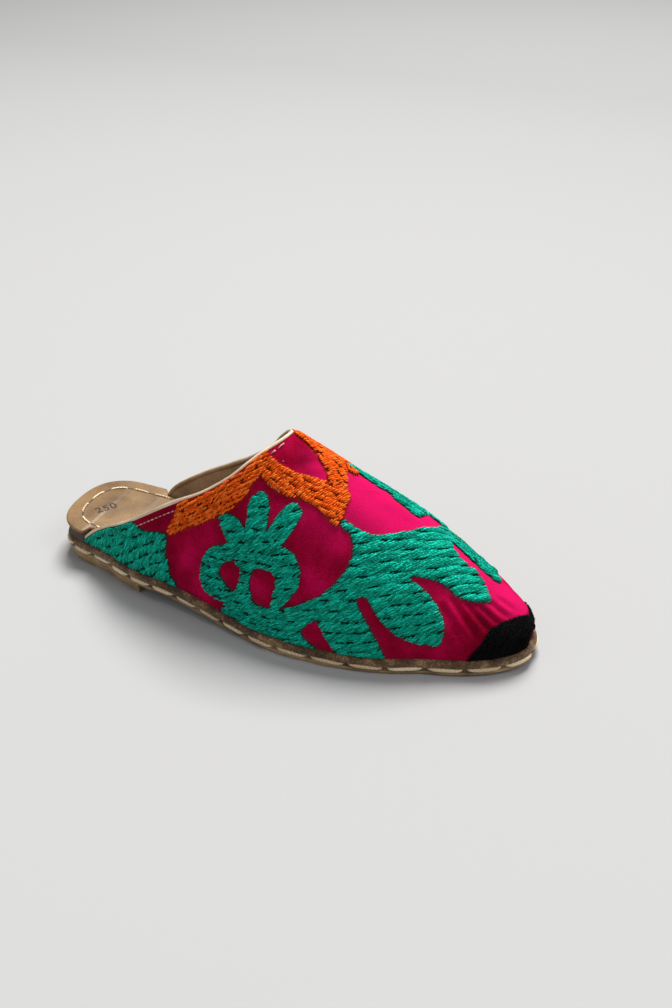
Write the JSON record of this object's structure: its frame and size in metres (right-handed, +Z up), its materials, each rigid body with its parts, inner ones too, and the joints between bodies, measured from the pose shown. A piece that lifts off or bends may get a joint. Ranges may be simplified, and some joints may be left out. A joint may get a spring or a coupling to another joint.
{
  "type": "babouche slipper",
  "caption": "Backless slipper with a covered toe, embroidered cloth upper, suede rand, leather insole and low leather heel.",
  "frame": {"origin": "middle of the footprint, on the floor", "axes": "+X from heel to toe, +Y to the medial side, +Z up from the floor"},
  "size_m": [0.272, 0.0934, 0.0984],
  "materials": {
    "sole_leather": "veg-tanned sole leather, worn edge",
    "suede": "brown suede with a short nap",
    "midsole_leather": "raw dark leather edge",
    "insole_leather": "smooth tan leather",
    "velvet": "crimson velvet",
    "cream_leather": "thin cream leather binding",
    "lining_leather": "soft taupe lining leather",
    "yarn_green": "thick green embroidery yarn",
    "yarn_orange": "thick orange embroidery yarn",
    "yarn_black": "thick black embroidery yarn",
    "thread_cream": "waxed cream thread"
  },
  "bodies": {
    "root": {"outsole": "sole_leather", "heel_lift": "sole_leather", "rand": "suede", "midsole": "midsole_leather", "insole": "insole_leather", "upper": "velvet", "topline_binding": "cream_leather"}
  },
  "joints": []
}
